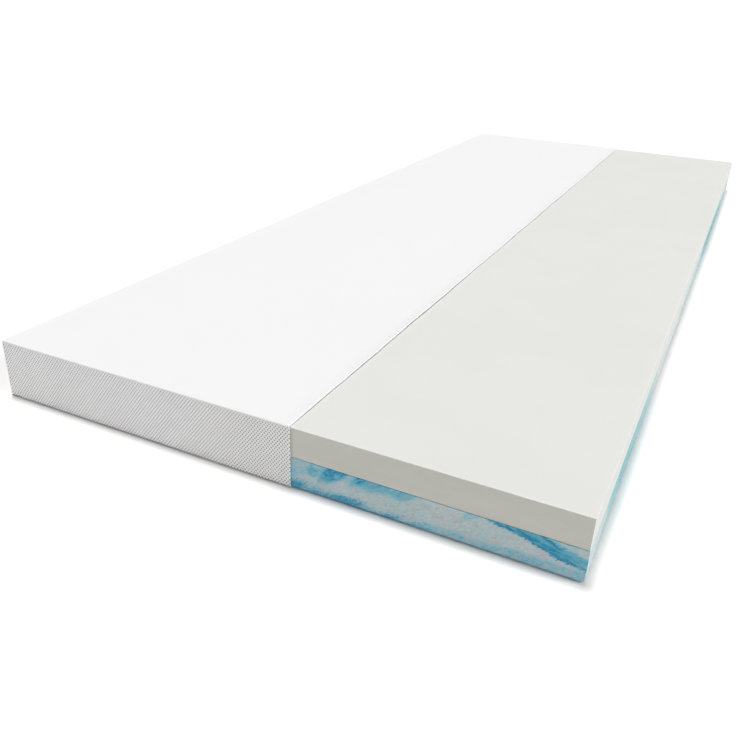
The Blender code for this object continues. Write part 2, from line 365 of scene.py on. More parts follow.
def marbled_foam():
    g = Graph("marbled_foam")
    P = g.coord()
    x, y, z = g.split(P)
    low, high = box_of("support_layer")
    u = g.mul(g.sub(x, float(low[0])), 1000.0)          # mm across, from the covered side
    w = g.mul(g.sub(z, float(low[2])), 1000.0)          # mm up
    lean = g.sub(u, g.mul(w, 1.5))                      # constant along strokes that rise to +X
    yy = g.mul(y, 1000.0)
    across = g.mul(lean, 0.555)
    run = g.add(g.mul(u, 0.832), g.mul(w, 0.555))
    streak = g.noise(g.join(g.mul(across, 0.26), g.mul(run, 0.075), g.mul(yy, 0.02)), 1.0, 4.0, 0.6, 0.7)
    tooth = g.noise(g.join(g.mul(across, 0.85), g.mul(run, 0.22), g.mul(yy, 0.05)), 1.0, 3.0, 0.6, 0.3)
    speck = g.noise(g.join(g.mul(across, 0.46), g.mul(run, 0.16), g.mul(yy, 0.05)), 1.0, 4.0, 0.65, 0.9)
    blot = g.noise(g.join(g.mul(u, 0.07), g.mul(yy, 0.03), g.mul(w, 0.10)), 1.0, 4.0, 0.6, 0.8)
    un = g.math("DIVIDE", g.sub(u, 455.0), 345.0, clamp=True)
    un_low = g.math("DIVIDE", g.sub(g.sub(u, g.mul(w, 1.3)), 450.0), 345.0, clamp=True)
    un_top = g.math("DIVIDE", g.sub(g.add(u, g.mul(g.sub(36.0, w), 0.9)), 455.0), 345.0, clamp=True)
    sway = g.mul(g.sub(streak, 0.5), 26.0)
    fringe = g.mul(g.sub(tooth, 0.5), 12.0)

    def pool(at, depth_from_face, reach, level, soft, teeth=1.0):
        """Colour that soaks in from one face of the slab, as deep as reach."""
        r = g.curve(at, reach)
        d = g.add(depth_from_face, g.add(sway, g.mul(fringe, teeth)))
        return g.mul(g.step(g.sub(d, r), soft, -soft), g.curve(at, level))

    b1 = pool(un_low, w,
        [(0, 11), (0.03, 11), (0.06, 8), (0.12, 8.5), (0.17, 9.5), (0.22, 10), (0.27, 7), (0.32, 4), (0.355, 5), (0.395, 7), (0.42, 4), (0.455, 7.5), (0.5, 8), (0.56, 12), (0.62, 10), (0.7, 11), (0.78, 13), (0.86, 12), (0.94, 13), (1, 14)],
        [(0, 0.82), (0.03, 0.78), (0.06, 0.58), (0.12, 0.70), (0.165, 0.90), (0.21, 1.0), (0.25, 0.92), (0.29, 0.62), (0.34, 0.68), (0.385, 0.94), (0.42, 0.46), (0.455, 0.60), (0.5, 0.42), (0.56, 0.36), (0.62, 0.37), (0.7, 0.38), (0.78, 0.44), (0.86, 0.40), (0.92, 0.36), (1, 0.34)],
        4.2, 2.0)
    b1 = g.mul(g.mul(b1, g.step(w, 8.0, 2.0, 1.0, 1.10)), g.step(speck, 0.40, 0.62, 0.62, 1.42))
    top = g.sub(40.0, w)
    b2 = pool(un_top, top,
        [(0, 32), (0.05, 28), (0.10, 16), (0.13, 15), (0.155, 21), (0.195, 15), (0.225, 9), (0.25, 14), (0.28, 12), (0.31, 14), (0.35, 12), (0.38, 11), (0.41, 13), (0.45, 8), (0.48, 3), (0.51, 2), (0.6, 2), (0.635, 11), (0.66, 3), (1, 1)],
        [(0, 0.10), (0.05, 0.20), (0.10, 0.24), (0.125, 0.34), (0.15, 0.70), (0.195, 0.68), (0.22, 0.32), (0.245, 0.64), (0.28, 0.62), (0.305, 0.64), (0.345, 0.60), (0.375, 0.50), (0.41, 0.62), (0.45, 0.34), (0.48, 0.08), (0.51, 0.02), (0.6, 0.08), (0.64, 0.36), (0.67, 0.16), (0.71, 0.04), (1, 0)],
        7.0)
    # a round blot near the cover and the long pour that leaves by the bare side
    du, dw = g.mul(g.sub(u, 484.0), 1 / 10.0), g.mul(g.sub(w, 30.0), 1 / 8.0)
    b5 = g.mul(g.step(g.add(g.add(g.mul(du, du), g.mul(dw, dw)), g.mul(sway, 0.10)), 1.6, 0.1), 0.48)
    keel = g.curve(un, [(0, 44), (0.655, 44), (0.69, 38.4), (0.745, 35.2), (0.78, 32.8), (0.814, 29.5), (0.849, 25.4), (0.884, 21.6), (0.919, 17.8), (0.954, 15.6), (1, 13.4)])
    crest = g.curve(un, [(0, 58), (0.74, 58), (0.80, 52), (0.85, 45), (0.885, 40), (0.92, 35), (0.955, 31.5), (1, 28.5)])
    above = g.sub(w, keel)
    glide = g.noise(g.join(g.mul(above, 0.25), g.mul(u, 0.050), g.mul(yy, 0.02)), 1.0, 4.0, 0.6, 0.8)
    d3 = g.add(w, g.add(g.mul(sway, 0.32), g.mul(fringe, 0.85)))
    b3 = g.mul(g.mul(g.step(g.sub(d3, keel), -1.2, 1.4), g.step(g.sub(g.add(d3, g.mul(sway, 0.5)), crest), 4.5, -3.0)), g.curve(un, [(0, 0), (0.655, 0), (0.69, 0.64), (0.76, 0.84), (0.86, 0.82), (0.93, 0.74), (1, 0.66)]))
    under = g.step(g.sub(d3, keel), 5.0, 0.0)
    in_pour = g.math("MINIMUM", g.mul(b3, 1.4), 1.0)
    b3 = g.add(b3, g.mul(g.mul(b3, under), 0.28))
    b4 = g.mul(g.mul(g.step(g.sub(d3, crest), -1.0, 2.5), g.curve(un, [(0, 0), (0.78, 0), (0.84, 0.26), (0.93, 0.20), (1, 0.12)])), g.step(glide, 0.36, 0.62, 0.3, 1.5))
    fields = g.math("MAXIMUM", g.math("MAXIMUM", b1, b2), g.math("MAXIMUM", g.math("MAXIMUM", b3, b4), b5))
    body = g.mul(g.mul(g.add(0.58, g.mul(fields, 0.40)), g.sub(1.0, g.mul(in_pour, 0.62))), g.step(w, 10.0, 24.0, 1.15, 0.82))
    mottle = g.add(g.mul(g.sub(streak, 0.5), 2.3), g.add(g.mul(g.sub(tooth, 0.5), 1.3), g.add(g.mul(g.sub(blot, 0.5), 1.3), g.mul(g.sub(speck, 0.5), 0.6))))
    near_cover = g.step(u, 600.0, 450.0)
    front = g.add(g.add(fields, g.mul(mottle, body)), g.add(0.06, g.mul(near_cover, 0.11)))
    front = g.add(front, g.mul(g.mul(in_pour, g.sub(glide, 0.5)), 1.4))

    # Swirls through the rest of the slab: long pours that run with the bed.
    warp = g.noise(g.join(g.mul(x, 3.0), g.mul(y, 2.2), g.mul(z, 20.0)), 1.0, 3.0, 0.5, 0.0, colour=True)
    wx, wy, wz = g.split(warp)
    px = g.add(g.mul(x, 5.0), g.mul(wx, 1.6))
    py = g.add(g.mul(y, 1.7), g.mul(wy, 1.3))
    pz = g.add(g.mul(z, 42.0), g.mul(wz, 1.8))
    swirl = g.noise(g.join(px, py, pz), 1.0, 4.0, 0.62, 0.8)
    fine = g.noise(g.join(g.mul(px, 5.0), g.mul(py, 9.0), g.mul(pz, 1.6)), 1.0, 3.0, 0.6, 0.6)
    rest = g.step(g.add(swirl, g.mul(g.sub(fine, 0.5), 0.22)), 0.46, 0.66)
    along = g.curve(
        g.math("DIVIDE", g.add(y, 1.0), 2.0, clamp=True),
        [(0, 0.15), (0.025, 0.30), (0.05, 0.42), (0.1, 0.88), (0.15, 0.80), (0.2, 0.55), (0.25, 0.24), (0.3, 0.05), (0.35, 0.05), (0.4, 0.18), (0.5, 0.25), (0.55, 0.32), (0.6, 0.75), (0.65, 1.0), (0.7, 1.0), (0.75, 0.95), (0.8, 0.85), (0.85, 0.8), (0.9, 0.62), (0.95, 0.32), (1, 0.12)],
    )
    side = g.step(x, 0.392, 0.3985)
    patch = g.noise(g.join(g.mul(z, 55.0), g.mul(y, 17.0), g.mul(x, 2.0)), 1.0, 4.0, 0.65, 0.6)
    chip = g.noise(g.join(g.mul(z, 120.0), g.mul(y, 60.0), g.mul(x, 2.0)), 1.0, 3.0, 0.6, 0.4)
    flank = g.add(along, g.add(g.mul(g.sub(patch, 0.5), 1.0), g.mul(g.sub(chip, 0.5), 0.7)))
    flank = g.math("MAXIMUM", g.math("MINIMUM", flank, 1.15), 0.0)
    at_front = g.step(y, -0.9965, -0.9990)
    side = g.mul(side, g.sub(1.0, at_front))
    m = g.math("MULTIPLY_ADD", at_front, g.sub(front, rest), rest)
    m = g.math("MAXIMUM", g.math("MINIMUM", m, 1.0), 0.0)

    warm = g.noise(P, 26.0, 4.0, 0.62)
    base = g.mix(g.step(warm, 0.42, 0.64), (0.455, 0.560, 0.567), (0.530, 0.560, 0.578))
    pale = g.mix(g.step(blot, 0.4, 0.6), (0.345, 0.525, 0.583), (0.375, 0.525, 0.551))
    colour = g.mix(g.step(m, 0.06, 0.34), base, pale)
    colour = g.mix(g.step(m, 0.26, 0.56), colour, (0.205, 0.464, 0.572))
    colour = g.mix(g.step(m, 0.50, 0.82), colour, (0.083, 0.385, 0.526))
    colour = g.mix(g.step(m, 0.78, 1.02), colour, (0.016, 0.222, 0.405))
    tide = g.ramp(flank, [(0.0, (0.555, 0.592, 0.572)), (0.45, (0.385, 0.515, 0.520)), (0.9, (0.215, 0.425, 0.455)), (1.0, (0.175, 0.385, 0.405))])
    colour = g.mix(side, colour, tide)
    # painted light: the slab's foot is screened paler and bluer, against the shade near the floor
    foot_lift = g.step(w, 11.0, 2.0)
    colour = g.mix(g.mul(foot_lift, 0.19), colour, (0.28, 0.68, 0.90), "SCREEN")
    # cells catch the light in strokes, even where the foam is hardly coloured
    stroke = g.add(1.0, g.add(g.mul(g.sub(speck, 0.5), 0.75), g.add(g.mul(g.sub(tooth, 0.5), 0.45), g.add(g.mul(g.sub(streak, 0.5), 0.50), g.mul(g.sub(blot, 0.5), 0.35)))))
    colour = g.mix(g.mul(at_front, 1.0), colour, g.mix(1.0, colour, stroke, "MULTIPLY"))
    grain = g.noise(P, 700.0, 2.0, 0.6)
    colour = g.mix(g.mul(g.step(grain, 0.4, 0.75), 0.06), colour, (0.72, 0.76, 0.75))
    # painted shade: the pores are darkened
    pore = g.step(g.cells(P, 950.0), 0.30, 0.0)
    colour = g.mix(g.mul(pore, 0.14), colour, (0.22, 0.34, 0.38))
    return g.finish(colour, 0.93, foam_bump(g, P, 0.35), Specular_IOR_Level=0.22, Sheen_Weight=0.05, Sheen_Roughness=0.6)


# ------------------------------------------------------------------ cloth materials
PITCH_U, PITCH_V = 4.5, 5.66       # mm between holes in a row, and between every other row
DIAG = (0.622, 0.783)              # the threads' direction
HOLE_LONG, HOLE_SHORT = 0.84, 0.90  # mm


def air_mesh(name, along):
    """Spacer mesh with staggered oval holes; along is 'x' or 'y', the horizontal direction of the band."""
    g = Graph(name)
    P = g.coord()
    x, y, z = g.split(P)
    u = g.mul(x if along == "x" else y, 1000.0)
    v = g.mul(z, 1000.0)
    wob = g.noise(P, 90.0, 2.0, 0.5, 0.0, colour=True)
    wu, wv, _ = g.split(wob)
    u = g.add(u, g.mul(g.sub(wu, 0.5), 0.55))
    v = g.add(v, g.mul(g.sub(wv, 0.5), 0.45))
    found = None
    for ou, ov in ((0.0, 0.0), (PITCH_U / 2, PITCH_V / 2)):
        du = g.math("WRAP", g.sub(u, ou), PITCH_U / 2, -PITCH_U / 2)
        dv = g.math("WRAP", g.sub(v, ov), PITCH_V / 2, -PITCH_V / 2)
        a = g.add(g.mul(du, DIAG[0]), g.mul(dv, DIAG[1]))
        b = g.sub(g.mul(dv, DIAG[0]), g.mul(du, DIAG[1]))
        d = g.math("SQRT", g.add(g.math("POWER", g.mul(a, 1 / HOLE_LONG), 2.0), g.math("POWER", g.math("ABSOLUTE", g.mul(b, 1 / HOLE_SHORT)), 2.0)))
        found = d if found is None else g.math("MINIMUM", found, d)
    hole = g.step(found, 1.12, 0.74)
    bb = g.sub(g.mul(v, DIAG[0]), g.mul(u, DIAG[1]))
    aa = g.add(g.mul(u, DIAG[0]), g.mul(v, DIAG[1]))
    yarn = g.math("SINE", g.mul(bb, 2 * math.pi / 0.44))
    twist = g.math("SINE", g.add(g.mul(aa, 2 * math.pi / 0.62), g.mul(yarn, 1.2)))
    fuzz = g.noise(P, 2600.0, 2.0, 0.7)
    tone = g.mix(g.step(g.noise(P, 14.0, 3.0, 0.6), 0.3, 0.7), (0.924, 0.930, 0.938), (0.946, 0.953, 0.955))
    # painted shade in the grooves of the twisted yarn
    tone = g.mix(g.mul(g.step(twist, 0.2, -0.9), 0.10), tone, (0.76, 0.76, 0.77))
    if along == "x":
        # a little greyer towards the cut
        tone = g.mix(g.step(x, -0.14, 0.04, 0.0, 0.55), tone, (0.82, 0.82, 0.80))
    # painted shade: the holes are painted dark, on top of their dents in the relief
    colour = g.mix(hole, tone, (0.19, 0.19, 0.195))
    h = g.add(g.add(g.mul(yarn, 0.08), g.mul(twist, 0.12)), g.add(g.mul(fuzz, 0.25), g.mul(hole, -0.8)))
    return g.finish(colour, 0.88, g.bump(h, 0.5, 0.0004), Specular_IOR_Level=0.25, Sheen_Weight=0.25, Sheen_Roughness=0.45)


def knit(name, light, dark, pitch=1.15, strength=0.35, mottling=0.3):
    """Fine jersey: rows of V loops."""
    g = Graph(name)
    P = g.coord()
    x, y, z = g.split(P)
    u = g.mul(x, 1000.0 / pitch)
    v = g.mul(g.add(y, z), 1000.0 / (pitch * 0.78))
    col = g.math("PINGPONG", u, 0.5)
    loop = g.math("SINE", g.mul(g.add(v, g.mul(col, 1.1)), 2 * math.pi))
    rib = g.math("SINE", g.mul(g.add(u, 0.25), 2 * math.pi))
    fuzz = g.noise(P, 3000.0, 2.0, 0.7)
    h = g.add(g.add(g.mul(loop, 0.22), g.mul(rib, 0.24)), g.mul(fuzz, 0.35))
    cloud = g.noise(P, 5.0, 4.0, 0.6)
    tone = g.mix(g.mul(g.step(cloud, 0.3, 0.75), mottling), light, dark)
    # painted shade in the valleys between the loops
    tone = g.mix(g.mul(g.step(loop, 0.1, -0.9), 0.07), tone, dark)
    return g.finish(tone, 0.9, g.bump(h, strength, 0.00025), Specular_IOR_Level=0.2, Sheen_Weight=0.12, Sheen_Roughness=0.5)


def twill(name, light, dark, pitch=0.9, strength=0.4):
    g = Graph(name)
    P = g.coord()
    x, y, z = g.split(P)
    u = g.mul(x, 1000.0 / pitch)
    v = g.mul(g.add(y, g.mul(z, 0.93)), 1000.0 / pitch)
    over = g.math("SINE", g.mul(g.add(u, v), math.pi))
    warp = g.math("SINE", g.mul(u, 2 * math.pi))
    weft = g.math("SINE", g.mul(v, 2 * math.pi))
    h = g.add(g.add(g.mul(over, 0.3), g.mul(warp, 0.2)), g.add(g.mul(weft, 0.2), g.mul(g.noise(P, 2400.0, 2.0, 0.7), 0.3)))
    cloud = g.noise(P, 22.0, 3.0, 0.6)
    tone = g.mix(g.step(cloud, 0.3, 0.7), light, dark)
    # painted shade where the threads pass under
    tone = g.mix(g.mul(g.step(over, 0.0, -1.0), 0.18), tone, dark)
    return g.finish(tone, 0.9, g.bump(h, strength, 0.0003), Specular_IOR_Level=0.2, Sheen_Weight=0.1, Sheen_Roughness=0.5)


def thread_mat():
    g = Graph("sewing_thread")
    P = g.coord()
    x, y, z = g.split(P)
    ply = g.math("SINE", g.mul(g.add(g.add(x, y), g.mul(z, 1.7)), 2 * math.pi * 2600.0))
    fuzz = g.noise(P, 5000.0, 2.0, 0.7)
    # painted shade between the plies
    tone = g.mix(g.step(ply, -0.4, 0.9), (0.80, 0.80, 0.81), (0.93, 0.93, 0.93))
    return g.finish(tone, 0.6, g.bump(g.add(g.mul(ply, 0.5), g.mul(fuzz, 0.4)), 0.4, 0.0001), Specular_IOR_Level=0.35, Sheen_Weight=0.1)


def coil_mat():
    g = Graph("zip_coil_nylon")
    P = g.coord()
    tone = g.mix(g.step(g.noise(P, 400.0, 3.0, 0.6), 0.3, 0.7), (0.86, 0.86, 0.87), (0.93, 0.93, 0.93))
    rough = g.step(g.noise(P, 900.0, 2.0, 0.5), 0.3, 0.7, 0.28, 0.42)
    return g.finish(tone, rough, g.bump(g.noise(P, 3000.0, 2.0, 0.6), 0.15, 0.0001), Specular_IOR_Level=0.5, Subsurface_Weight=0.0)


def metal_mat(name, tint=(0.66, 0.665, 0.68)):
    g = Graph(name)
    P = g.coord()
    brush = g.noise(g.scaled(P, (900.0, 900.0, 9000.0)), 1.0, 3.0, 0.6)
    wear = g.step(g.noise(P, 260.0, 4.0, 0.6), 0.42, 0.7)
    tone = g.mix(wear, tint, tuple(c * 0.82 for c in tint))
    rough = g.add(g.step(brush, 0.3, 0.7, 0.2, 0.33), g.mul(wear, 0.12))
    return g.finish(tone, rough, g.bump(brush, 0.12, 0.00005), Metallic=1.0)


def glue_mat():
    g = Graph("bond_glue")
    P = g.coord()
    tone = g.mix(g.step(g.noise(P, 60.0, 4.0, 0.6), 0.35, 0.7), (0.70, 0.69, 0.62), (0.80, 0.79, 0.74))
    return g.finish(tone, 0.5, g.bump(g.noise(P, 500.0, 3.0, 0.6), 0.3, 0.0002), Specular_IOR_Level=0.4)


M_CREAM = cream_foam()
M_MARBLE = marbled_foam()
M_TOP = knit("top_knit", (0.820, 0.815, 0.822), (0.800, 0.795, 0.803))
M_MESH_X = air_mesh("air_mesh_end", "x")
M_MESH_Y = air_mesh("air_mesh_side", "y")
M_PLAIN = twill("plain_cloth", (0.62, 0.63, 0.65), (0.55, 0.56, 0.585))
M_TAPE = twill("zip_tape_weave", (0.88, 0.88, 0.89), (0.80, 0.80, 0.815), 0.7, 0.5)
M_THREAD = thread_mat()
M_COIL = coil_mat()
M_METAL = metal_mat("zip_metal")
M_GLUE = glue_mat()


# ------------------------------------------------------------------ foam slabs
def saw_waves(P, seed, amp):
    """Slight waviness of a sawn foam face, from long and short waves."""
    a = value_noise(P * np.array([9.0, 9.0, 30.0]) + 7.0, seed) - 0.5
    b = value_noise(P * np.array([55.0, 55.0, 90.0]) + 3.0, seed + 1) - 0.5
    return amp * (a + 0.35 * b)


S_LOW, S_HIGH = box_of("support_layer")
C_LOW, C_HIGH = box_of("comfort_layer")
T_LOW, T_HIGH = box_of("cover_top_panel")
B_LOW, B_HIGH = box_of("cover_bottom_panel")
CUT = float(T_HIGH[0])


def slab(name, low, high, seed, mat, node, body_shape):
    inset = np.array([0.0003, 0.0003, 0.0])

    def shape(P, N):
        side = 1 - np.abs(N[:, 2])
        move = saw_waves(P, seed, 0.0006) * side
        P = P + N * (move - 0.00015)[:, None] * side[:, None]
        return body_shape(P, N)

    obj = rounded_block(name, low + inset, high - inset, 0.0006, (0.008, 0.008, 0.0020), mat, shape)
    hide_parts(node)
    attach(obj, "core")
    return obj


def comfort_shape(P, N):
    # the top skin is flat with a faint quilt of saw marks
    top = np.clip(N[:, 2], 0, 1)
    P[:, 2] += top * (value_noise(P * np.array([14.0, 5.0, 1.0]), 21) - 0.5) * 0.0003
    low_edge = np.clip(-N[:, 2], 0, 1)
    P[:, 2] -= low_edge * 0.00025
    return P


def support_shape(P, N):
    # beyond the cover the underside eases down to the floor
    free = smoothstep(CUT + 0.002, CUT + 0.07, P[:, 0])
    height = np.clip((P[:, 2] - S_LOW[2]) / (S_HIGH[2] - S_LOW[2]), 0, 1)
    P[:, 2] -= free * (1 - height) * 0.0006
    over = np.clip(P[:, 2] - S_LOW[2] + 0.0006, 0, 0.0036) / 0.0036
    tuck = 0.0020 * (1 - np.sqrt(np.maximum(1 - (1 - over) ** 2, 0))) * free
    edge_x = np.clip(S_HIGH[0] - P[:, 0], 0, 1)
    edge_y = np.minimum(P[:, 1] - S_LOW[1], S_HIGH[1] - P[:, 1])
    P[:, 0] -= tuck * smoothstep(0.006, 0.0, edge_x)
    P[:, 1] += tuck * smoothstep(0.006, 0.0, edge_y) * np.where(P[:, 1] < 0, 1, -1)
    P[:, 2] += (height > 0.5) * np.clip(N[:, 2], 0, 1) * 0.00025
    return P


comfort = slab("comfort_slab", C_LOW, C_HIGH, 11, M_CREAM, "comfort_layer", comfort_shape)
support = slab("support_slab", S_LOW, S_HIGH, 31, M_MARBLE, "support_layer", support_shape)


def dress(node, mat):
    """Give a carried-over CAD node its finished material."""
    obj = bpy.data.objects[node]
    obj.data.materials.clear()
    obj.data.materials.append(mat)


dress("bond_film", M_GLUE)


# ------------------------------------------------------------------ cover: top and bottom cloth
def line(low, high, step, fine=(), r=0.0):
    """Sample positions with extra ones close to the listed ends."""
    n = max(2, int(round((high - low) / step)))
    pts = list(np.linspace(low, high, n + 1))
    for end in fine:
        for k in (0.0003, 0.0007, 0.0012, 0.0018, 0.0026, 0.0036, 0.005):
            pts.append(end + (k if end == low else -k))
    return np.unique(np.round(pts, 6))


def top_cloth():
    low, high = T_LOW, T_HIGH
    xs = line(low[0], high[0], 0.006, (low[0], high[0]))
    ys = line(low[1], high[1], 0.008, (low[1], high[1]))
    X, Y = np.meshgrid(xs, ys, indexing="ij")
    flat = np.stack([X, Y, np.zeros_like(X)], -1).reshape(-1, 3)
    swell = (value_noise(flat * np.array([6.0, 4.0, 1.0]) + 5.0, 51) - 0.5).reshape(X.shape)
    small = (value_noise(flat * np.array([28.0, 19.0, 1.0]) + 9.0, 52) - 0.5).reshape(X.shape)
    from_seam = np.minimum(np.minimum(X - low[0], Y - low[1]), high[1] - Y)
    from_cut = high[0] - X
    along = np.where((X - low[0]) < np.minimum(Y - low[1], high[1] - Y), Y, X)
    pucker = np.sin(along * 2 * math.pi / 0.0135 + 2.5 * np.sin(along * 41.0)) * np.exp(-from_seam / 0.006)
    r = 0.0018
    d = np.clip(from_seam, 0, r)
    roll = r - np.sqrt(np.maximum(r * r - (r - d) ** 2, 0))
    rc = 0.0006
    dc = np.clip(from_cut, 0, rc)
    roll_cut = rc - np.sqrt(np.maximum(rc * rc - (rc - dc) ** 2, 0))
    settle = smoothstep(0, 0.02, from_seam)
    curl = (0.0011 + 0.0003 * np.sin(Y * 9.0 + 0.6) + 0.00015 * np.sin(Y * 37.0)) * smoothstep(0.014, 0.0, from_cut) * smoothstep(0.0, 0.05, np.minimum(Y - low[1], high[1] - Y))
    lift = 0.0006 * swell * settle + 0.00025 * small * settle
    Z = high[2] - 0.0003 + lift - roll - roll_cut + 0.00010 * pucker + curl
    inner_x = np.clip(X, low[0] + 0.0002, high[0] - 0.0002)
    A = np.stack([X, Y, Z], -1)
    B = np.stack([inner_x, np.clip(Y, low[1] + 0.0002, high[1] - 0.0002), np.full_like(X, low[2]) + 0.0001 - 0.00058 * smoothstep(0.0026, 0.0016, from_seam) + curl], -1)
    # the cut edge wanders a little, as a knife leaves it
    wander = 0.00035 * np.sin(Y * 23.0 + 1.0) + 0.0002 * np.sin(Y * 71.0)
    pull = smoothstep(0.02, 0.0, from_cut)
    A[..., 0] += (wander - 0.0006) * pull
    B[..., 0] += (wander - 0.0006) * pull
    obj = closed_shell("top_cloth", A, B, M_TOP)
    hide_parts("cover_top_panel")
    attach(obj, "cover")
    return obj


def bottom_cloth():
    low, high = B_LOW, B_HIGH
    xs = line(low[0], high[0], 0.01, (low[0], high[0]))
    ys = line(low[1], high[1], 0.01, (low[1], high[1]))
    X, Y = np.meshgrid(xs, ys, indexing="ij")
    edge = np.minimum(np.minimum(X - low[0], high[0] - X), np.minimum(Y - low[1], high[1] - Y))
    r = 0.0005
    d = np.clip(edge, 0, r)
    roll = r - np.sqrt(np.maximum(r * r - (r - d) ** 2, 0))
    flat = np.stack([X, Y, np.zeros_like(X)], -1).reshape(-1, 3)
    small = (value_noise(flat * 30.0, 61) - 0.5).reshape(X.shape)
    A = np.stack([X, Y, high[2] - roll - 0.0001 + 0.00006 * small], -1)
    B = np.stack([X, Y, low[2] + roll * 0.9 + 0.00004 * (small + 0.5)], -1)
    obj = closed_shell("bottom_cloth", A, B, M_PLAIN)
    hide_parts("cover_bottom_panel")
    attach(obj, "cover")
    return obj


top_cloth()
bottom_cloth()


# ------------------------------------------------------------------ cover: air-mesh bands
def mesh_relief(u, v):
    """Height in mm of the air mesh at (u, v) mm: ridges along the diagonals, dents at the holes."""
    best = np.full(np.shape(u), 9.0)
    for ou, ov in ((0.0, 0.0), (PITCH_U / 2, PITCH_V / 2)):
        du = (u - ou + PITCH_U / 2) % PITCH_U - PITCH_U / 2
        dv = (v - ov + PITCH_V / 2) % PITCH_V - PITCH_V / 2
        a = du * DIAG[0] + dv * DIAG[1]
        b = dv * DIAG[0] - du * DIAG[1]
        best = np.minimum(best, np.sqrt((a / HOLE_LONG) ** 2 + (b / HOLE_SHORT) ** 2))
    hole = smoothstep(1.3, 0.6, best)
    b = v * DIAG[0] - u * DIAG[1]
    ridge = 0.5 - 0.5 * np.cos(2 * math.pi * b / 3.52)
    return 0.05 * ridge - 0.80 * hole


def band(name, node, along, outward, mat, du, dv, span=None, body="cover"):
    """One air-mesh band as a closed sheet; outward is -1 or +1 on the other horizontal axis."""
    low, high = box_of(node)
    a = 0 if along == "x" else 1
    n = 1 - a
    a0, a1 = (low[a], high[a]) if span is None else span
    us = np.unique(np.concatenate([np.arange(math.ceil(a0 / du) * du, a1, du), [a0, a1]]))
    vs = np.unique(np.concatenate([np.arange(math.ceil(low[2] / dv) * dv, high[2], dv), [low[2], high[2]]]))
    us = us[np.concatenate([[True], np.diff(us) > du * 0.2])]
    vs = vs[np.concatenate([[True], np.diff(vs) > dv * 0.2])]
    us[-1], vs[-1] = a1, high[2]
    U, V = np.meshgrid(us, vs, indexing="ij")
    relief = mesh_relief(U * 1000.0, V * 1000.0) / 1000.0
    edge_v = np.minimum(V - low[2], high[2] - V)
    edge_u = np.minimum(U - low[a], high[a] - U)
    calm = smoothstep(0.0, 0.0012, np.minimum(edge_v, edge_u))
    r = 0.00045
    d = np.clip(np.minimum(edge_v, edge_u), 0, r)
    roll = r - np.sqrt(np.maximum(r * r - (r - d) ** 2, 0))
    flat = np.stack([U, V, np.zeros_like(U)], -1).reshape(-1, 3)
    swell = (value_noise(flat * np.array([7.0, 20.0, 1.0]) + 2.0, 71) - 0.5).reshape(U.shape)
    V = V + 0.00038 * smoothstep(0.0012, 0.0, high[2] - V) - 0.00032 * smoothstep(0.0012, 0.0, V - low[2])
    if a == 0:
        frayed = 0.00022 * np.sin(V * 2 * math.pi / 0.00283) + 0.00018 * np.sin(V * 410.0 + 1.0)
        U = U + (frayed - 0.0004) * smoothstep(0.003, 0.0, high[0] - U)
    t = high[n] - low[n]
    out = t - 0.00016 + relief * calm - roll + 0.0001 * swell
    inner = np.zeros_like(U) + 0.0001 + roll * 0.5
    A = np.zeros(U.shape + (3,))
    B = np.zeros(U.shape + (3,))
    A[..., a] = U
    B[..., a] = U
    A[..., 2] = V
    B[..., 2] = V
    if outward > 0:
        A[..., n], B[..., n] = low[n] + out, low[n] + inner
    else:
        A[..., n], B[..., n] = high[n] - out, high[n] - inner
    if (a == 0 and outward > 0) or (a == 1 and outward < 0):
        A, B = A[::-1], B[::-1]
    obj = closed_shell(name, A, B, mat)
    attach(obj, body)
    return obj


fine_u, fine_v = 0.00075, 0.0007075
obj = band("mesh_band_foot", "border_front", "x", -1, M_MESH_X, fine_u, fine_v)
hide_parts("border_front")
obj = band("mesh_band_head", "border_rear", "x", +1, M_MESH_X, fine_u, fine_v)
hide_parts("border_rear")
low, high = box_of("border_left_upper")
pieces = []
edges = np.linspace(low[1], high[1], 4)
for k in range(3):
    pieces.append(band("mesh_band_side_%d" % (k + 1), "border_left_upper", "y", -1, M_MESH_Y, 0.0009, 0.000943, (edges[k], edges[k + 1])))
for piece in pieces:
    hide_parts("border_left_upper")
obj = band("mesh_band_side_low", "border_left_lower", "y", -1, M_MESH_Y, 0.0009, 0.000943)
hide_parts("border_left_lower")


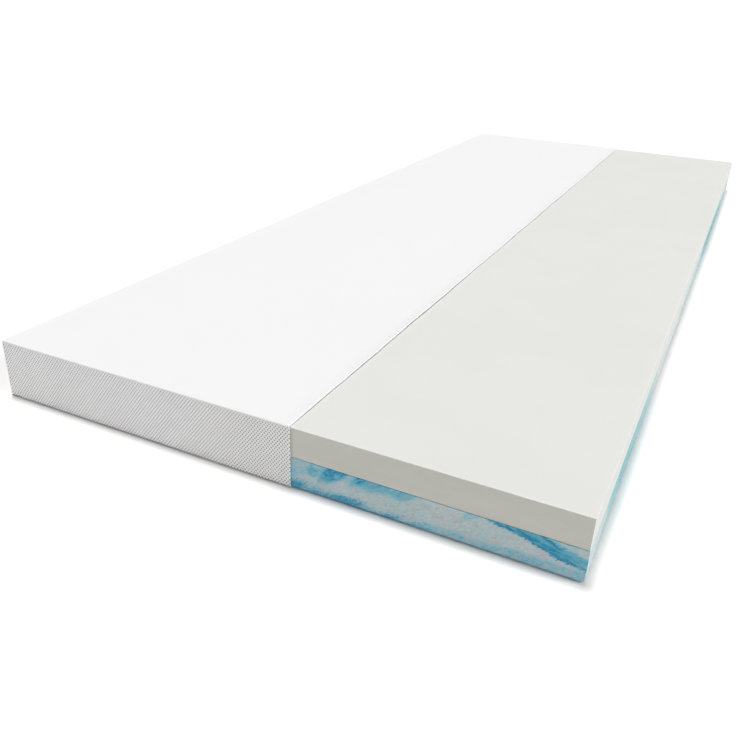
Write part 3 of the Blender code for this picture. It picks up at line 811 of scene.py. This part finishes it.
# ------------------------------------------------------------------ seams: rows of stitches
def stitch_row(name, start, end, radius, mat, pitch=0.0032, length=0.0027, sides=6):
    """Short arched stitches along a line, all inside a rod of the given radius."""
    start, end = np.array(start, float), np.array(end, float)
    total = np.linalg.norm(end - start)
    axis = (end - start) / total
    ref = np.array([0, 0, 1.0]) if abs(axis[2]) < 0.9 else np.array([1.0, 0, 0])
    s1 = np.cross(axis, ref)
    s1 /= np.linalg.norm(s1)
    s2 = np.cross(axis, s1)
    count = int(total / pitch)
    offs = (total - count * pitch) / 2
    rings = np.array([0.0, 0.12, 0.35, 0.65, 0.88, 1.0])
    fat = np.array([0.35, 0.78, 1.0, 1.0, 0.78, 0.35])
    ang = np.linspace(0, 2 * math.pi, sides, endpoint=False)
    circle = np.cos(ang)[:, None] * s1 + np.sin(ang)[:, None] * s2
    thick = radius * 0.8
    verts, faces = [], []
    for k in range(count):
        a = start + axis * (offs + k * pitch + (pitch - length) / 2)
        skew = (0.2 * radius) * (1 if k % 2 else -1)
        base = len(verts) * len(rings) * sides + 2 * len(verts)
        ring_pts = []
        for t, f in zip(rings, fat):
            c = a + axis * (length * t) + s1 * skew * (1 - 2 * t)
            ring_pts.append(c + circle * thick * f)
        tips = np.stack([a + s1 * skew - axis * 0.00003, a + axis * (length + 0.00003) - s1 * skew])
        verts.append(np.concatenate([np.concatenate(ring_pts), tips]))
        n = len(rings)
        ids = base + np.arange(n * sides).reshape(n, sides)
        nxt = np.roll(ids, -1, axis=1)
        for i in range(n - 1):
            faces.append(np.stack([ids[i], nxt[i], nxt[i + 1], ids[i + 1]], -1))
        first, last = base + n * sides, base + n * sides + 1
        faces.append(np.stack([nxt[0], ids[0], np.full(sides, first), np.full(sides, first)], -1))
        faces.append(np.stack([ids[-1], nxt[-1], np.full(sides, last), np.full(sides, last)], -1))
    V = np.concatenate(verts)
    F = np.concatenate(faces)
    quads = F[F[:, 2] != F[:, 3]]
    tris = F[F[:, 2] == F[:, 3]][:, :3]
    me = bpy.data.meshes.new(name)
    me.from_pydata(V.tolist(), [], quads.tolist() + tris.tolist())
    me.validate()
    me.polygons.foreach_set("use_smooth", np.ones(len(me.polygons), bool))
    me.materials.append(mat)
    obj = bpy.data.objects.new(name, me)
    scene.collection.objects.link(obj)
    import bmesh
    bm = bmesh.new()
    bm.from_mesh(me)
    bmesh.ops.recalc_face_normals(bm, faces=bm.faces)
    bm.to_mesh(me)
    bm.free()
    return obj


for node in [n for n in NODES if n.startswith("seam_")]:
    low, high = box_of(node)
    size = high - low
    a = int(np.argmax(size))
    mid = (low + high) / 2
    p0, p1 = mid.copy(), mid.copy()
    p0[a], p1[a] = low[a], high[a]
    radius = float(min(size[b] for b in range(3) if b != a)) / 2
    corner = "corner" in node
    if not corner:
        if a == 0:
            shift = 0.00072 * (1 if mid[1] > 0 else -1)
            p0[1] += shift
            p1[1] += shift
            p1[0] -= 0.0006
        else:
            p0[0] -= 0.00072
            p1[0] -= 0.00072
    obj = stitch_row(node.replace("seam", "stitches"), p0, p1, radius, M_THREAD, 0.0030 if not corner else 0.0024, 0.0027 if not corner else 0.0023)
    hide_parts(node)
    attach(obj, "cover")


# ------------------------------------------------------------------ zip
def coil_mesh(name, node):
    low, high = box_of(node)
    wire = 0.00027
    mid = (low + high) / 2
    rx = (high[0] - low[0]) / 2 - wire - 0.00002
    rz = (high[2] - low[2]) / 2 - wire - 0.00002
    pitch = 0.0015
    y0, y1 = low[1] + wire * 1.2, high[1] - wire * 1.2
    turns = int((y1 - y0) / pitch)
    per = 8
    n = turns * per + 1
    t = np.arange(n) / per
    ang = t * 2 * math.pi
    centre = np.stack([mid[0] + rx * np.cos(ang), y0 + (y1 - y0) * t / t[-1], mid[2] + rz * np.sin(ang)], -1)
    tan = np.gradient(centre, axis=0)
    tan /= np.linalg.norm(tan, axis=1)[:, None]
    radial = np.stack([np.cos(ang) * rz, np.zeros(n), np.sin(ang) * rx], -1)
    radial -= tan * (radial * tan).sum(1)[:, None]
    radial /= np.linalg.norm(radial, axis=1)[:, None]
    side = np.cross(tan, radial)
    sides = 5
    phi = np.linspace(0, 2 * math.pi, sides, endpoint=False)
    V = centre[:, None] + wire * (np.cos(phi)[None, :, None] * radial[:, None] + np.sin(phi)[None, :, None] * side[:, None])
    ids = np.arange(n * sides).reshape(n, sides)
    nxt = np.roll(ids, -1, axis=1)
    F = np.stack([ids[:-1], nxt[:-1], nxt[1:], ids[1:]], -1).reshape(-1, 4)
    caps = [list(map(int, ids[0][::-1])), list(map(int, ids[-1]))]
    me = bpy.data.meshes.new(name)
    me.from_pydata(V.reshape(-1, 3).tolist(), [], F.tolist() + caps)
    me.validate()
    me.polygons.foreach_set("use_smooth", np.ones(len(me.polygons), bool))
    me.materials.append(M_COIL)
    obj = bpy.data.objects.new(name, me)
    scene.collection.objects.link(obj)
    import bmesh
    bm = bmesh.new()
    bm.from_mesh(me)
    bmesh.ops.recalc_face_normals(bm, faces=bm.faces)
    bm.to_mesh(me)
    bm.free()
    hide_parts(node)
    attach(obj, "cover")
    return obj


for side in ("upper", "lower"):
    coil_mesh("coil_" + side, "zip_coil_" + side)


def ribbon(name, node, mat, rib, amp, du, dv, edge_r):
    """Narrow woven strip in the side wall: ribs along its length, closed all round."""
    low, high = box_of(node)
    us = line(low[1], high[1], du)
    vs = line(low[2], high[2], dv, (low[2], high[2]))
    vs = vs[(vs >= low[2]) & (vs <= high[2])]
    U, V = np.meshgrid(us, vs, indexing="ij")
    edge = np.minimum(V - low[2], high[2] - V)
    d = np.clip(edge, 0, edge_r)
    roll = edge_r - np.sqrt(np.maximum(edge_r**2 - (edge_r - d) ** 2, 0))
    wave = amp * (0.5 - 0.5 * np.cos(V * 2 * math.pi / rib)) + 0.3 * amp * np.sin(U * 2 * math.pi / 0.011)
    t = high[0] - low[0]
    out = t - np.clip(wave, 0, None) - roll * 0.9
    A = np.stack([high[0] - out, U, V], -1)[::-1]
    B = np.stack([high[0] - roll * 0.4, U, V], -1)[::-1]
    obj = closed_shell(name, A, B, mat)
    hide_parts(node)
    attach(obj, "cover")
    return obj


for side in ("upper", "lower"):
    ribbon("tape_" + side, "zip_tape_" + side, M_TAPE, 0.0016, 0.00007, 0.004, 0.0004, 0.0001)
for side in ("front", "rear"):
    ribbon("end_patch_" + ("foot_lift" if side == "front" else "head"), "zip_end_patch_" + side, M_PLAIN, 0.0021, 0.0001, 0.0009, 0.0007, 0.0005)

for node in ("zip_top_stop_upper", "zip_top_stop_lower", "zip_bottom_stop", "zip_slider", "zip_pull_tab"):
    dress(node, M_METAL)


# ------------------------------------------------------------------ floor and light
g = Graph("floor_paper")
floor_tone = g.mix(g.step(g.noise(g.coord(), 2.0, 3.0, 0.5), 0.3, 0.7), (0.988, 0.966, 0.960), (0.994, 0.973, 0.967))
M_FLOOR = g.finish(floor_tone, 0.95, None, Specular_IOR_Level=0.0)
half = 150.0
grid = np.linspace(-half, half, 21)
GX, GY = np.meshgrid(grid, grid, indexing="ij")
ids = np.arange(GX.size).reshape(GX.shape)
floor = mesh_object(
    "studio_floor",
    np.stack([GX, GY, np.full_like(GX, -0.0002)], -1).reshape(-1, 3),
    np.stack([ids[:-1, :-1], ids[1:, :-1], ids[1:, 1:], ids[:-1, 1:]], -1).reshape(-1, 4),
    M_FLOOR,
)

def soft_sun(name, direction, energy, spread):
    lamp = bpy.data.lights.new(name, "SUN")
    lamp.energy = energy
    lamp.angle = math.radians(spread)
    obj = bpy.data.objects.new(name, lamp)
    scene.collection.objects.link(obj)
    obj.rotation_mode = "QUATERNION"
    obj.rotation_quaternion = Vector(direction).normalized().to_track_quat("Z", "Y")


soft_sun("overhead_soft", (-0.112, 0.09, 1.0), 0.704 * math.pi, 13.0)
soft_sun("right_soft", (0.88, 0.04, 0.47), 0.58 * math.pi, 34.0)

world = bpy.data.worlds.new("studio")
scene.world = world
world.use_nodes = True
wt = world.node_tree
bg = wt.nodes["Background"]
tc = wt.nodes.new("ShaderNodeTexCoord")
sep = wt.nodes.new("ShaderNodeSeparateXYZ")
mr = wt.nodes.new("ShaderNodeMapRange")
mr.interpolation_type = "SMOOTHSTEP"
mr.inputs["From Min"].default_value = 0.12
mr.inputs["From Max"].default_value = 0.30
mr.inputs["To Min"].default_value = 1.0
mr.inputs["To Max"].default_value = 0.150
wt.links.new(tc.outputs["Generated"], sep.inputs[0])
wt.links.new(sep.outputs[2], mr.inputs["Value"])
wt.links.new(mr.outputs["Result"], bg.inputs["Strength"])
bg.inputs["Color"].default_value = (1.0, 1.0, 1.0, 1.0)
